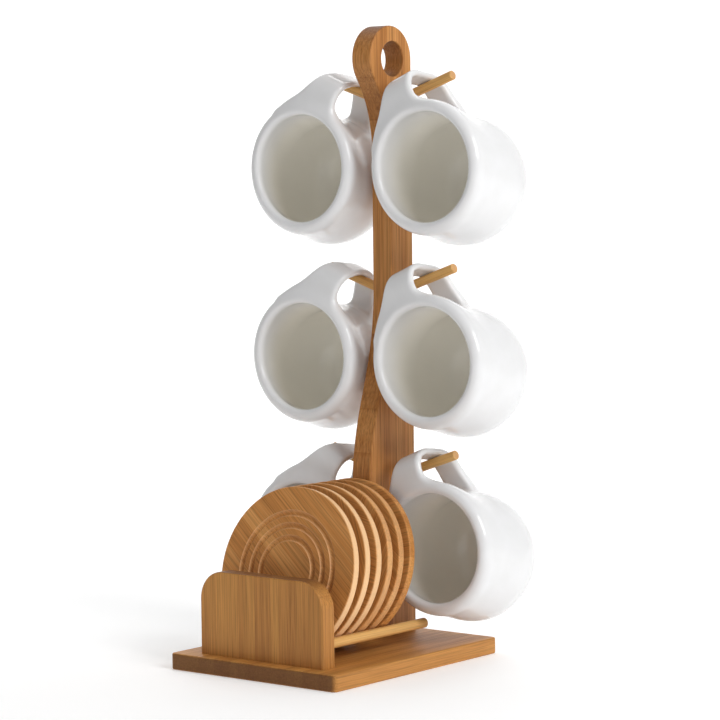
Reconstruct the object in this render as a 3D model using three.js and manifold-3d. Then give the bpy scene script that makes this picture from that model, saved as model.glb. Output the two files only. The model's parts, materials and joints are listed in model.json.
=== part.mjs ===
// Bamboo mug tree with six hanging mugs and a coaster rack.
// Millimetres, +Z up, front towards -Y, origin at the centre of the base board's underside.
import * as THREE from 'three';
import { mergeVertices } from 'three/addons/utils/BufferGeometryUtils.js';
import Module from 'manifold-3d';

const wasm = await Module();
wasm.setup();

// ---------------------------------------------------------------- driving dimensions (mm, degrees)

const base = { width: 128, depth: 158, thickness: 10, cornerRadius: 3, edgeRound: 1 };

const post = {
  thickness: 14.6, // along X
  backInset: 8, // from the base's back edge to the post's back edge
  footWidth: 45, // along Y at the base
  neckWidth: 22,
  headRadius: 20.3,
  headHeight: 366.2, // centre of the head's round
  holeRadius: 10.7,
  holeShift: 1.8, // hole centre behind the head's centre
  footTop: 97, // where the foot starts to narrow
  neckBottom: 228, // where the neck starts
  neckTop: 308, // where the neck starts to widen into the head
  headBlendAngle: 36, // below the horizontal, where the head leaves its circle
  edgeRound: 1,
};

const panel = {
  railMargin: 9.1, // from the rails' centre lines to the panel's sides
  thickness: 11, height: 50.5, cornerRadius: 17, frontInset: 9.5, edgeRound: 1,
};

const peg = {
  radius: 2.9, tilt: 19, reach: 49, tipHeights: [124, 238.4, 355.5], backFromPostBack: 12,
  depthInPost: 5.5, chamfer: 0.6, fit: 0.3,
};

const rail = { radius: 3.1, height: 22, rearEnd: 39, depthInPanel: 7, chamfer: 0.5, fit: 0.3 };

// The coasters lean back together, from the panel's foot to the post.
const coaster = {
  count: 6, radius: 51, thickness: 5.2, lean: 14, panelGap: 0.6, postGap: 0.8,
  grooveRadii: [20, 27.5, 35], grooveWidth: 3.4, grooveDepth: 0.9, edgeChamfer: 0.8,
  railClearance: 0.4, seatGap: 0.05,
};

const screw = { shankRadius: 1.9, headRadius: 3.9, headDepth: 2.6, recess: 0.4, reach: 28, fit: 0.3 };
const postScrewSpacing = 24; // along Y
const panelScrewSpacing = 60; // along X

const mug = {
  length: 68,
  mouthRadius: 33.4,
  lipOuterRadius: 38.2,
  lipRound: 3.2, // depth over which the lip turns into the side
  lipFullRadius: 41.6, // widest part of the lip, in front of the post
  shoulderRadius: 40, // where the mug hangs beside the post
  bellyDepth: 35, // where the round belly has its centre
  bellyRadius: 40.2,
  bellyDrop: 9.2, // belly centre below the mouth's centre
  wall: 4.2,
  baseRound: 3,
  strapThickness: 4,
  strapHeight: 60.6, // top of the handle above the mouth's centre
  strapFrontHalfWidth: 9.5,
  strapRearHalfWidth: 5.6,
  strapRootSpread: 11, // how much wider each half of the handle gets where it leaves the lip
  strapRootShift: 4, // how far that root sits to the left of the mug's middle
  strapTailSpread: 2.5, // how much wider each half gets where the handle meets the belly
  pegDepth: 32, // where the peg passes, behind the mouth
  pegGap: 1, // clear height between the peg and the handle at the handle's middle
  postGap: 1.2, // clear space between the mug's side and the post
};
// How each side's mugs hang: the lean of the handle towards the post, and how far out along its peg
// each mug sits, bottom row first.
const mugHang = {
  left: { side: -1, roll: 23, out: [2.5, 0, 0] },
  right: { side: 1, roll: 23, out: [4.5, 0, 0] },
};

const ROUND_SIDES = 14; // dowels and screws
const DISC_SIDES = 30; // coasters
const MUG_SIDES = 22;

// ---------------------------------------------------------------- values that follow from them

const rad = THREE.MathUtils.degToRad;
const postBack = base.depth / 2 - post.backInset;
const postHalf = post.thickness / 2;
const footFront = postBack - post.footWidth;
const neckFront = postBack - post.neckWidth;
const headCentreY = postBack - post.headRadius;
const panelFront = -base.depth / 2 + panel.frontInset;
const panelBack = panelFront + panel.thickness;
const pegY = postBack - peg.backFromPostBack;
const lean = rad(coaster.lean);
// Centres of the coasters' front faces.
const coasterCentreZ = base.thickness + coaster.radius * Math.cos(lean)
  + coaster.thickness * Math.sin(lean) + coaster.seatGap;
const firstCoasterY = panelBack + coaster.panelGap + coaster.radius * Math.sin(lean);
const lastCoasterY = footFront - coaster.postGap - coaster.radius * Math.sin(lean)
  - coaster.thickness * Math.cos(lean);
const coasterPitch = (lastCoasterY - firstCoasterY) / (coaster.count - 1);
// The rails pass beside the coasters' back faces, where the leaning discs come nearest.
const railDistance = coaster.radius + rail.radius + coaster.railClearance;
const railDrop = (coasterCentreZ - rail.height) / Math.cos(lean) - coaster.thickness * Math.tan(lean);
const railX = Math.sqrt(railDistance ** 2 - railDrop ** 2);
const panelWidth = 2 * (railX + panel.railMargin);
// Beside the post a mug is widest at its shoulder, or at its belly, which the lean swings outwards.
const leastRoll = Math.min(...Object.values(mugHang).map(({ roll }) => roll));
const bellyReach = mug.bellyRadius - mug.bellyDrop * Math.sin(rad(leastRoll));
const mugAxisX = postHalf + Math.max(mug.shoulderRadius, bellyReach) + mug.postGap;
const pegRise = mug.strapHeight - mug.strapThickness - peg.radius - mug.pegGap; // above the mouth's centre

// ---------------------------------------------------------------- materials

const bamboo = (color) => new THREE.MeshStandardMaterial({ color, roughness: 0.55, metalness: 0 });
const finishes = {
  board: bamboo('#c08a52'),
  post: bamboo('#b07c48'),
  dowel: bamboo('#d9a45c'),
  coaster: bamboo('#bd8552'),
  glaze: new THREE.MeshStandardMaterial({ color: '#f3f3f4', roughness: 0.18, metalness: 0 }),
  steel: new THREE.MeshStandardMaterial({ color: '#b9bcc0', roughness: 0.35, metalness: 1 }),
};

// ---------------------------------------------------------------- solids and meshes

function solidOf(geometry) {
  const bare = geometry.clone();
  bare.deleteAttribute('normal');
  bare.deleteAttribute('uv');
  const merged = mergeVertices(bare, 1e-4);
  return new wasm.Manifold(new wasm.Mesh({
    numProp: 3,
    vertProperties: new Float32Array(merged.attributes.position.array),
    triVerts: new Uint32Array(merged.index.array),
  }));
}

function geometryOf(solid) {
  const { vertProperties, triVerts } = solid.getMesh();
  const geometry = new THREE.BufferGeometry();
  geometry.setAttribute('position', new THREE.BufferAttribute(new Float32Array(vertProperties), 3));
  geometry.setIndex(new THREE.BufferAttribute(new Uint32Array(triVerts), 1));
  geometry.computeVertexNormals();
  return geometry;
}

function named(name, geometry, material) {
  const mesh = new THREE.Mesh(geometry, material);
  mesh.name = name;
  return mesh;
}

// A plate drawn in its own plane and raised by its thickness, with rounded edges on both faces.
function roundedPlate(outline, thickness, edgeRound, curveSegments = 6) {
  const geometry = new THREE.ExtrudeGeometry(outline, {
    depth: thickness - 2 * edgeRound,
    curveSegments,
    bevelEnabled: true,
    bevelThickness: edgeRound,
    bevelSize: edgeRound,
    bevelOffset: -edgeRound,
    bevelSegments: 2,
  });
  return geometry.translate(0, 0, edgeRound);
}

// A turned bar along +Z from z = 0, with a small chamfer on the ends that are asked for.
function dowelGeometry(radius, length, chamfer) {
  const profile = [
    new THREE.Vector2(0, 0),
    new THREE.Vector2(radius, 0),
    new THREE.Vector2(radius, length - chamfer),
    new THREE.Vector2(radius - chamfer, length),
    new THREE.Vector2(0, length),
  ];
  return new THREE.LatheGeometry(profile, ROUND_SIDES).rotateX(Math.PI / 2);
}

function barGeometry(radius, length) {
  return new THREE.CylinderGeometry(radius, radius, length, ROUND_SIDES).rotateX(Math.PI / 2)
    .translate(0, 0, length / 2);
}

// ---------------------------------------------------------------- screws

// Countersunk wood screw standing on its head at z = recess, pointing up.
function screwProfile(grow) {
  const { shankRadius, headRadius, headDepth, recess, reach } = screw;
  return [
    new THREE.Vector2(0, grow > 0 ? -1 : recess),
    new THREE.Vector2(headRadius + grow, grow > 0 ? -1 : recess),
    new THREE.Vector2(headRadius + grow, recess + grow),
    new THREE.Vector2(shankRadius + grow, recess + headDepth + grow),
    new THREE.Vector2(shankRadius + grow, reach - 3 + grow),
    new THREE.Vector2(0, reach + 2 * grow),
  ];
}

const screwPlaces = {
  post_screw_front: [0, (footFront + postBack - postScrewSpacing) / 2],
  post_screw_rear: [0, (footFront + postBack + postScrewSpacing) / 2],
  panel_screw_left: [-panelScrewSpacing / 2, panelFront + panel.thickness / 2],
  panel_screw_right: [panelScrewSpacing / 2, panelFront + panel.thickness / 2],
};

function screwSolid(grow) {
  return solidOf(new THREE.LatheGeometry(screwProfile(grow), ROUND_SIDES).rotateX(Math.PI / 2));
}

function cutScrewHoles(solid) {
  const hole = screwSolid(screw.fit);
  return Object.values(screwPlaces).reduce((rest, [x, y]) => rest.subtract(hole.translate([x, y, 0])), solid);
}

// ---------------------------------------------------------------- base board

function rectangle(width, height, radius) {
  const shape = new THREE.Shape();
  const [x, y] = [width / 2, height / 2];
  shape.absarc(x - radius, y - radius, radius, 0, Math.PI / 2);
  shape.absarc(-x + radius, y - radius, radius, Math.PI / 2, Math.PI);
  shape.absarc(-x + radius, -y + radius, radius, Math.PI, 1.5 * Math.PI);
  shape.absarc(x - radius, -y + radius, radius, 1.5 * Math.PI, 2 * Math.PI);
  return shape;
}

function baseBoard() {
  const outline = rectangle(base.width, base.depth, base.cornerRadius);
  const board = solidOf(roundedPlate(outline, base.thickness, base.edgeRound, 4));
  return named('base_board', geometryOf(cutScrewHoles(board)), finishes.board);
}

// ---------------------------------------------------------------- front panel

function frontPanel() {
  const { height, cornerRadius: radius, thickness, edgeRound } = panel;
  const half = panelWidth / 2;
  const outline = new THREE.Shape();
  outline.moveTo(-half, -edgeRound);
  outline.lineTo(half, -edgeRound);
  outline.absarc(half - radius, height - radius, radius, 0, Math.PI / 2);
  outline.absarc(-half + radius, height - radius, radius, Math.PI / 2, Math.PI);
  // The plate stands up with its outline's X and Y on the object's X and Z; its foot is then cut flat.
  const plate = solidOf(roundedPlate(outline, thickness, edgeRound, 8).rotateX(Math.PI / 2)
    .translate(0, panelBack, base.thickness));
  const slab = new THREE.BoxGeometry(2 * panelWidth, 4 * thickness, 20)
    .translate(0, panelFront, base.thickness - 10);
  let solid = cutScrewHoles(plate.subtract(solidOf(slab)));
  for (const side of [-1, 1]) {
    solid = solid.subtract(solidOf(railBar(side, rail.radius + rail.fit, rail.fit)));
  }
  return named('front_panel', geometryOf(solid), finishes.board);
}

// ---------------------------------------------------------------- post

function postOutline() {
  const { headRadius, headHeight, footTop, neckBottom, neckTop, headBlendAngle } = post;
  const blend = rad(headBlendAngle);
  const headEdge = new THREE.Vector2(
    headCentreY - headRadius * Math.cos(blend), headHeight - headRadius * Math.sin(blend));
  const pull = headRadius * 0.67;
  const outline = new THREE.Shape();
  outline.moveTo(postBack, base.thickness);
  outline.lineTo(postBack, headHeight);
  outline.absarc(headCentreY, headHeight, headRadius, 0, Math.PI + blend);
  outline.bezierCurveTo(
    headEdge.x + pull * Math.sin(blend), headEdge.y - pull * Math.cos(blend),
    neckFront, neckTop + pull * 1.6, neckFront, neckTop);
  outline.lineTo(neckFront, neckBottom);
  const swing = (neckBottom - footTop) / 2.2;
  outline.bezierCurveTo(neckFront, neckBottom - swing, footFront, footTop + swing, footFront, footTop);
  outline.lineTo(footFront, base.thickness);
  outline.closePath();
  const hole = new THREE.Path();
  hole.absarc(headCentreY + post.holeShift, headHeight, post.holeRadius, 0, 2 * Math.PI, true);
  outline.holes.push(hole);
  return outline;
}

function postBoard() {
  // Drawn in Y and Z, raised along X.
  const plate = roundedPlate(postOutline(), post.thickness, post.edgeRound, 12);
  plate.rotateX(Math.PI / 2).rotateZ(Math.PI / 2).translate(-postHalf, 0, 0);
  let solid = cutScrewHoles(solidOf(plate));
  for (const side of [-1, 1]) {
    for (const tipHeight of peg.tipHeights) {
      const hole = barGeometry(peg.radius + peg.fit, pegLength() + peg.fit + 20).translate(0, 0, -peg.fit);
      placeOnPeg(hole, side, tipHeight);
      solid = solid.subtract(solidOf(hole));
    }
  }
  return named('post', geometryOf(solid), finishes.post);
}

// ---------------------------------------------------------------- pegs

function pegLength() {
  return (peg.reach - postHalf + peg.depthInPost) / Math.cos(rad(peg.tilt));
}

// Takes a bar along +Z from z = 0 to its place as a peg: tilted up and outwards, its far end at the tip.
function placeOnPeg(geometry, side, tipHeight) {
  const root = postHalf - peg.depthInPost;
  const rootHeight = tipHeight - (peg.reach - root) * Math.tan(rad(peg.tilt));
  geometry.rotateY(side * rad(90 - peg.tilt));
  return geometry.translate(side * root, pegY, rootHeight);
}

function pegs() {
  const group = new THREE.Group();
  const rows = ['lower', 'middle', 'upper'];
  for (const [side, word] of [[-1, 'left'], [1, 'right']]) {
    peg.tipHeights.forEach((tipHeight, row) => {
      const bar = placeOnPeg(dowelGeometry(peg.radius, pegLength(), peg.chamfer), side, tipHeight);
      group.add(named(`peg_${rows[row]}_${word}`, bar, finishes.dowel));
    });
  }
  return group;
}

// ---------------------------------------------------------------- coaster rack

function railBar(side, radius, extra) {
  const start = panelBack - rail.depthInPanel - extra;
  return dowelGeometry(radius, rail.rearEnd - start, rail.chamfer).rotateX(-Math.PI / 2)
    .translate(side * railX, start, rail.height);
}

function rails() {
  const group = new THREE.Group();
  for (const [side, word] of [[-1, 'left'], [1, 'right']]) {
    group.add(named(`rail_${word}`, railBar(side, rail.radius, 0), finishes.dowel));
  }
  return group;
}

function coasterGeometry() {
  const { radius, thickness, grooveRadii, grooveWidth, grooveDepth, edgeChamfer } = coaster;
  const profile = [new THREE.Vector2(0, thickness)];
  for (const groove of grooveRadii) {
    profile.push(new THREE.Vector2(groove - grooveWidth / 2, thickness));
    profile.push(new THREE.Vector2(groove, thickness - grooveDepth));
    profile.push(new THREE.Vector2(groove + grooveWidth / 2, thickness));
  }
  profile.push(new THREE.Vector2(radius - edgeChamfer, thickness));
  profile.push(new THREE.Vector2(radius, thickness - edgeChamfer));
  profile.push(new THREE.Vector2(radius, edgeChamfer));
  profile.push(new THREE.Vector2(radius - edgeChamfer, 0));
  profile.push(new THREE.Vector2(0, 0));
  // Turned about Y, then stood on edge with its grooved face to the front.
  return new THREE.LatheGeometry(profile.reverse(), DISC_SIDES).rotateX(Math.PI)
    .translate(0, thickness, 0);
}

function coasters() {
  const group = new THREE.Group();
  for (let index = 0; index < coaster.count; index += 1) {
    const disc = named(`coaster_${index + 1}`, coasterGeometry(), finishes.coaster);
    disc.rotation.x = -lean;
    disc.position.set(0, firstCoasterY + index * coasterPitch, coasterCentreZ);
    group.add(disc);
  }
  return group;
}

// ---------------------------------------------------------------- mugs

// A mug is modelled with its mouth at y = 0 facing -Y, its length along +Y and its handle up +Z.

function bellyRadiusAt(depth, shrink) {
  return Math.sqrt(Math.max(0, (mug.bellyRadius - shrink) ** 2 - (depth - mug.bellyDepth) ** 2));
}

// The belly's centre line drops smoothly below the mouth's.
function drop(geometry) {
  const position = geometry.attributes.position;
  for (let index = 0; index < position.count; index += 1) {
    const share = THREE.MathUtils.smoothstep(position.getY(index), 0, mug.bellyDepth);
    position.setZ(index, position.getZ(index) - mug.bellyDrop * share);
  }
  return geometry;
}

function turned(points) {
  return new THREE.LatheGeometry(points.map(([radius, depth]) => new THREE.Vector2(radius, depth)), MUG_SIDES);
}

function bodySolid() {
  const { length, lipOuterRadius, lipRound, lipFullRadius, shoulderRadius, bellyDepth, baseRound } = mug;
  const foot = bellyRadiusAt(length - baseRound, 0);
  const points = [
    [0, 0],
    [lipOuterRadius, 0],
    [lipOuterRadius + (lipFullRadius - lipOuterRadius) * 0.7, lipRound * 0.35],
    [lipFullRadius, lipRound * 1.6],
    [(lipFullRadius + shoulderRadius) / 2, bellyDepth * 0.35],
    [shoulderRadius, bellyDepth * 0.6],
    [bellyRadiusAt(bellyDepth, 0), bellyDepth],
    [bellyRadiusAt(bellyDepth + 12, 0), bellyDepth + 12],
    [bellyRadiusAt(bellyDepth + 21, 0), bellyDepth + 21],
    [foot, length - baseRound],
    [foot - baseRound, length],
    [0, length],
  ];
  return solidOf(drop(turned(points)));
}

function cavitySolid() {
  const { length, wall, mouthRadius, bellyDepth } = mug;
  const floor = length - wall - 1;
  const points = [
    [0, -1],
    [mouthRadius + 1.6, -1],
    [mouthRadius + 0.8, 0.6],
    [mouthRadius, 2.6],
    [bellyRadiusAt(bellyDepth, wall) - 0.6, bellyDepth * 0.5],
    [bellyRadiusAt(bellyDepth, wall), bellyDepth],
    [bellyRadiusAt(bellyDepth + 14, wall), bellyDepth + 14],
    [bellyRadiusAt(floor - 3, wall), floor - 3],
    [bellyRadiusAt(floor - 3, wall) * 0.8, floor],
    [0, floor],
  ];
  return solidOf(drop(turned(points)));
}

// The handle's side view: up from the lip, back over the peg and down to the belly.
function strapOutline() {
  const { strapHeight: top, strapThickness: thick, pegDepth, bellyDepth } = mug;
  const outer = new THREE.SplineCurve([
    [1, 28], [0.8, 42], [2.6, top - 8], [8, top - 2], [16, top], [pegDepth - 3, top - 0.2],
    [pegDepth + 5.6, top - 2.4], [pegDepth + 10.6, top - 7.6], [bellyDepth + 12, top - 17],
    [bellyDepth + 16, top - 26], [bellyDepth + 18, top - 35],
  ].map(([depth, rise]) => new THREE.Vector2(depth, rise)));
  const inner = new THREE.SplineCurve([
    [bellyDepth + 11.5, top - 37], [bellyDepth + 10.4, top - 27.5], [bellyDepth + 7.6, top - 19.5],
    [pegDepth + 7.4, top - 10.6], [pegDepth + 3.8, top - thick - 1.9], [pegDepth - 2, top - thick],
    [16, top - thick], [11, top - thick - 1.4], [7.6, top - thick - 6.5], [6.4, 42], [6.6, 28],
  ].map(([depth, rise]) => new THREE.Vector2(depth, rise)));
  return new THREE.Shape([...outer.getPoints(18), ...inner.getPoints(18)]);
}

function strapSolid() {
  const { strapFrontHalfWidth: front, strapRearHalfWidth: rear, pegDepth, bellyDepth, strapHeight } = mug;
  const plate = new THREE.ExtrudeGeometry(strapOutline(), { depth: 2, bevelEnabled: false });
  // Outline X is the depth along +Y, outline Y is the rise along +Z, and the plate's own Z is the width.
  plate.translate(0, 0, -1).rotateX(Math.PI / 2).rotateZ(Math.PI / 2);
  const position = plate.attributes.position;
  for (let index = 0; index < position.count; index += 1) {
    const depth = position.getY(index);
    const taper = THREE.MathUtils.smoothstep(depth, 4, pegDepth + 6);
    const root = 1 - THREE.MathUtils.smoothstep(position.getZ(index), 30, strapHeight - 4);
    const frontRoot = root * (1 - THREE.MathUtils.smoothstep(depth, 6, 12));
    const rearRoot = root * THREE.MathUtils.smoothstep(depth, pegDepth, bellyDepth + 12);
    const spread = mug.strapRootSpread * frontRoot + mug.strapTailSpread * rearRoot;
    const half = front + (rear - front) * taper + spread;
    position.setX(index, Math.sign(position.getX(index)) * half - mug.strapRootShift * frontRoot);
  }
  return solidOf(plate);
}

function mugGeometry() {
  return geometryOf(bodySolid().add(strapSolid()).subtract(cavitySolid()));
}

function mugs() {
  const group = new THREE.Group();
  const rows = ['lower', 'middle', 'upper'];
  const geometry = mugGeometry();
  for (const [word, { side, roll, out }] of Object.entries(mugHang)) {
    const turn = rad(roll);
    peg.tipHeights.forEach((tipHeight, row) => {
      const x = mugAxisX + out[row];
      // The handle's middle line crosses the peg's axis pegRise from the mouth's centre.
      const crossingX = x - pegRise * Math.sin(turn);
      const crossingZ = tipHeight - (peg.reach - crossingX) * Math.tan(rad(peg.tilt));
      const mesh = named(`mug_${rows[row]}_${word}`, geometry, finishes.glaze);
      mesh.rotation.y = -side * turn;
      mesh.position.set(side * x, pegY - mug.pegDepth, crossingZ - pegRise * Math.cos(turn));
      group.add(mesh);
    });
  }
  return group;
}

// ---------------------------------------------------------------- assembly

function screws() {
  const group = new THREE.Group();
  for (const [name, [x, y]] of Object.entries(screwPlaces)) {
    const body = new THREE.LatheGeometry(screwProfile(0), ROUND_SIDES).rotateX(Math.PI / 2);
    group.add(named(name, body.translate(x, y, 0), finishes.steel));
  }
  return group;
}

const mugTree = new THREE.Group();
mugTree.add(baseBoard(), frontPanel(), postBoard(), pegs(), rails(), screws(), coasters(), mugs());

export default mugTree;
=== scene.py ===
"""Bamboo mug tree with six hanging glazed mugs and a low rack of six round coasters.

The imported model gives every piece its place: each class reads the boxes of its nodes and builds a fine
mesh there. Shapes are worked out in millimetres and become metres when a mesh is made.
"""

import json
import logging
import math
from dataclasses import dataclass, field
from enum import Enum
from typing import Callable, Sequence

import bmesh
import bpy
import numpy as np
from mathutils import Matrix, Vector


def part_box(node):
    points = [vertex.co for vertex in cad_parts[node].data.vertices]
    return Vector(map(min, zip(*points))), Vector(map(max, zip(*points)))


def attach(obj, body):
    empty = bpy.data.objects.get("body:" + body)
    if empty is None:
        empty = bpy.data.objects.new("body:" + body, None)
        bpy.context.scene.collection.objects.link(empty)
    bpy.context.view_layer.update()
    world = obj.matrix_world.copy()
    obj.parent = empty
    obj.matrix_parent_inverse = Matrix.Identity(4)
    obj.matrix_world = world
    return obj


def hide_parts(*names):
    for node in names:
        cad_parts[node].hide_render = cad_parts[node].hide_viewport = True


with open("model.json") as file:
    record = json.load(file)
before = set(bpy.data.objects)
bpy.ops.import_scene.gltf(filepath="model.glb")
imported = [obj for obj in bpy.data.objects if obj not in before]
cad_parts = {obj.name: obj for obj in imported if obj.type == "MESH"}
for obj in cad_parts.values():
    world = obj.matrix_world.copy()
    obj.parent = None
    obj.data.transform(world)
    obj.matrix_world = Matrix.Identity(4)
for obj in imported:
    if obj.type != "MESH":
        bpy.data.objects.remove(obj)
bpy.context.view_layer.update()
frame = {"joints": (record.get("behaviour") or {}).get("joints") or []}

MM = 0.001
LOG = logging.getLogger("mug_tree")
SIDES = {"left": -1, "right": 1}
ROWS = ("lower", "middle", "upper")
RACK = "rack"

Point2 = tuple[float, float]


class Slot(Enum):
    """Material slots of the record."""

    BOARD = "bamboo_board"
    POST = "bamboo_post"
    DOWEL = "bamboo_dowel"
    COASTER = "bamboo_coaster"
    GLAZE = "white_glaze"
    STEEL = "screw_steel"


class Grain(Enum):
    """Which way the bamboo fibres run: rows turn object axes into across, through and along the fibres."""

    UP = ((1, 0, 0), (0, 1, 0), (0, 0, 1))
    DEEP = ((1, 0, 0), (0, 0, 1), (0, 1, 0))
    ACROSS = ((0, 1, 0), (0, 0, 1), (1, 0, 0))


# ---------------------------------------------------------------- shader helpers


def linear(code: str) -> tuple[float, float, float, float]:
    """Turns an sRGB hex colour into linear RGBA.

    Args:
        code: Six hex digits after a hash.

    Returns:
        Linear red, green, blue and an alpha of one.
    """
    parts = [int(code[i:i + 2], 16) / 255 for i in (1, 3, 5)]
    curve = [c / 12.92 if c <= 0.04045 else ((c + 0.055) / 1.055) ** 2.4 for c in parts]
    return (curve[0], curve[1], curve[2], 1.0)


def add(tree: bpy.types.NodeTree, kind: str, inputs: dict | None = None,
        **settings: object) -> bpy.types.Node:
    """Adds a node, sets its options and fills or links its inputs.

    Args:
        tree: Node tree that gets the node.
        kind: Node type name.
        inputs: Socket name or number to a value, or to an output socket to link from.
        **settings: Options of the node itself.

    Returns:
        The new node.
    """
    node = tree.nodes.new(kind)
    for name, value in settings.items():
        setattr(node, name, value)
    for name, value in (inputs or {}).items():
        if isinstance(value, bpy.types.NodeSocket):
            tree.links.new(value, node.inputs[name])
        else:
            node.inputs[name].default_value = value
    return node


def new_material(name: str) -> tuple[bpy.types.Material, bpy.types.NodeTree]:
    """Makes an empty node material.

    Args:
        name: Name of the material.

    Returns:
        The material and its node tree.
    """
    material = bpy.data.materials.new(name)
    material.use_nodes = True
    material.node_tree.nodes.clear()
    return material, material.node_tree


def finish_surface(tree: bpy.types.NodeTree, inputs: dict) -> None:
    """Ends a material tree in a principled surface.

    Args:
        tree: Node tree of the material.
        inputs: Socket name to a value, or to an output socket to link from.
    """
    surface = add(tree, "ShaderNodeBsdfPrincipled", inputs)
    add(tree, "ShaderNodeOutputMaterial", {"Surface": surface.outputs["BSDF"]})


def ramp(tree: bpy.types.NodeTree, factor: bpy.types.NodeSocket,
         stops: Sequence[tuple]) -> bpy.types.NodeSocket:
    """Adds a colour ramp.

    Args:
        tree: Node tree that gets the ramp.
        factor: What drives it.
        stops: Pairs of place and linear colour, in order.

    Returns:
        The ramp's colour output.
    """
    node = add(tree, "ShaderNodeValToRGB", {"Fac": factor})
    elements = node.color_ramp.elements
    while len(elements) < len(stops):
        elements.new(0.5)
    for element, (place, colour) in zip(elements, stops):
        element.position = place
        element.color = colour
    return node.outputs["Color"]


def calc(tree: bpy.types.NodeTree, operation: str, *terms: object) -> bpy.types.NodeSocket:
    """Adds a math node.

    Args:
        tree: Node tree that gets the node.
        operation: What it works out.
        *terms: Values, or output sockets to link from.

    Returns:
        The result's output.
    """
    return add(tree, "ShaderNodeMath", dict(enumerate(terms)), operation=operation).outputs[0]


def noise(tree: bpy.types.NodeTree, place: bpy.types.NodeSocket, size: float, detail: float,
          roughness: float = 0.5) -> bpy.types.NodeSocket:
    """Adds a noise texture.

    Args:
        tree: Node tree that gets the node.
        place: Coordinates it is read at.
        size: Size of its largest features in millimetres.
        detail: How many finer layers it has.
        roughness: Strength of the finer layers.

    Returns:
        The noise's output.
    """
    return add(tree, "ShaderNodeTexNoise", {
        "Vector": place, "Scale": 1 / (size * MM), "Detail": detail, "Roughness": roughness}).outputs["Fac"]


def grey(value: float) -> tuple[float, float, float, float]:
    """A neutral linear colour."""
    return (value, value, value, 1.0)


# ---------------------------------------------------------------- finishes


@dataclass(frozen=True)
class Bamboo:
    """Laminated bamboo, planed, sanded and clear lacquered.

    Strips of split culm are glued side by side, so the eye sees bands of slightly different honey tones,
    each full of fine darker fibre bundles that run the whole length. Sawn ends have a tone of their own; on
    the coasters the same tone is a painted highlight on the rims. The lacquer gives a soft sheen that the
    raised fibres break up.
    """

    name: str
    pale: str
    middle: str
    deep: str
    # end: tone of sawn end grain; for the coasters a pale painted highlight on the rims
    end: str
    strip_width: float = 6.2  # mm, width of one laminated strip
    bundle_spacing: float = 0.75  # mm between fibre bundles
    bundle_length: float = 45.0  # mm over which a bundle fades in and out
    roughness: float = 0.42
    strength: float = 0.42  # how strongly the bundles darken the wood
    streak_size: float = 2.2  # width of the broad streaks, in bundle spacings
    streak_stretch: float = 1.6  # how much shorter than the bundles they are
    streak_share: float = 0.45  # how strongly they change the tone
    streak_base: float = 0.08
    tone_share: float = 0.22  # how much the strips differ
    glue_width: float = 0.07  # of a strip's width
    glue_share: float = 0.12  # how dark the glue line is
    end_share: float = 0.75  # how far sawn ends go to their own tone, and how strongly the coaster rims take their painted highlight
    sheen_spread: float = 0.16  # how much duller the raised fibres are

    def build(self) -> bpy.types.Material:
        """Makes the material, which reads the fibre and end_grain_and_rim_highlight attributes; on the
        coasters the second one marks a painted rim highlight.

        Returns:
            The finished material.
        """
        material, tree = new_material(self.name)
        fibre = add(tree, "ShaderNodeAttribute", attribute_name="fibre").outputs["Vector"]
        # End grain on boards and dowels; on the coasters this mask marks the painted rim highlight.
        ends = add(tree, "ShaderNodeAttribute", attribute_name="end_grain_and_rim_highlight").outputs["Fac"]
        along = self.bundle_spacing / self.bundle_length
        # Fibre bundles: noise pulled out along the fibres.
        stretched = add(tree, "ShaderNodeMapping", {"Vector": fibre, "Scale": (1, 1, along)})
        bundles = noise(tree, stretched.outputs[0], self.bundle_spacing, 3.0, 0.62)
        # Broader streaks, where the wood between bundles is denser.
        broad_map = add(tree, "ShaderNodeMapping", {
            "Vector": fibre, "Scale": (1, 1, along * self.streak_stretch)})
        broad = noise(tree, broad_map.outputs[0], self.streak_size * self.bundle_spacing, 2.0)
        # Each laminated strip has a tone of its own.
        axes = add(tree, "ShaderNodeSeparateXYZ", {"Vector": fibre})
        count = calc(tree, "DIVIDE", axes.outputs["X"], self.strip_width * MM)
        strip = calc(tree, "FLOOR", count)
        tone = add(tree, "ShaderNodeTexWhiteNoise", {"W": strip}, noise_dimensions="1D").outputs["Value"]
        # The glue line between strips shows as a hairline.
        within = calc(tree, "FRACT", count)
        glue = add(tree, "ShaderNodeMapRange", {
            "Value": within, "From Min": 0.0, "From Max": self.glue_width, "To Min": 1.0,
            "To Max": 0.0}).outputs[0]
        mixed = calc(tree, "MULTIPLY_ADD", broad, self.streak_share, self.streak_base)
        mixed = calc(tree, "MULTIPLY_ADD", tone, self.tone_share, mixed)
        mixed = calc(tree, "MULTIPLY_ADD", glue, self.glue_share, mixed)
        wood = ramp(tree, mixed, [
            (0.2, linear(self.pale)), (0.5, linear(self.middle)), (0.85, linear(self.deep))])
        dark = ramp(tree, bundles, [(0.42, grey(1.0)), (0.72, grey(1.0 - self.strength))])
        streaked = add(tree, "ShaderNodeMix", {"Factor": 1.0, 6: wood, 7: dark}, data_type="RGBA",
                       blend_type="MULTIPLY").outputs[2]
        # Sawn end tone; on the coasters the pale painted highlight of the rims.
        end_tone_or_rim_highlight = add(tree, "ShaderNodeMix", {"Factor": self.end_share, 6: streaked, 7: linear(self.end)},
                   data_type="RGBA").outputs[2]
        colour = add(tree, "ShaderNodeMix", {"Factor": ends, 6: streaked, 7: end_tone_or_rim_highlight},
                     data_type="RGBA").outputs[2]
        sheen = add(tree, "ShaderNodeMapRange", {
            "Value": bundles, "From Min": 0.3, "From Max": 0.7, "To Min": self.roughness,
            "To Max": self.roughness + self.sheen_spread}).outputs[0]
        bump = add(tree, "ShaderNodeBump", {
            "Height": bundles, "Strength": 0.35, "Distance": 0.08 * MM}).outputs[0]
        finish_surface(tree, {"Base Color": colour, "Roughness": sheen, "Normal": bump, "IOR": 1.5,
                              "Specular IOR Level": 0.3})
        return material


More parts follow.
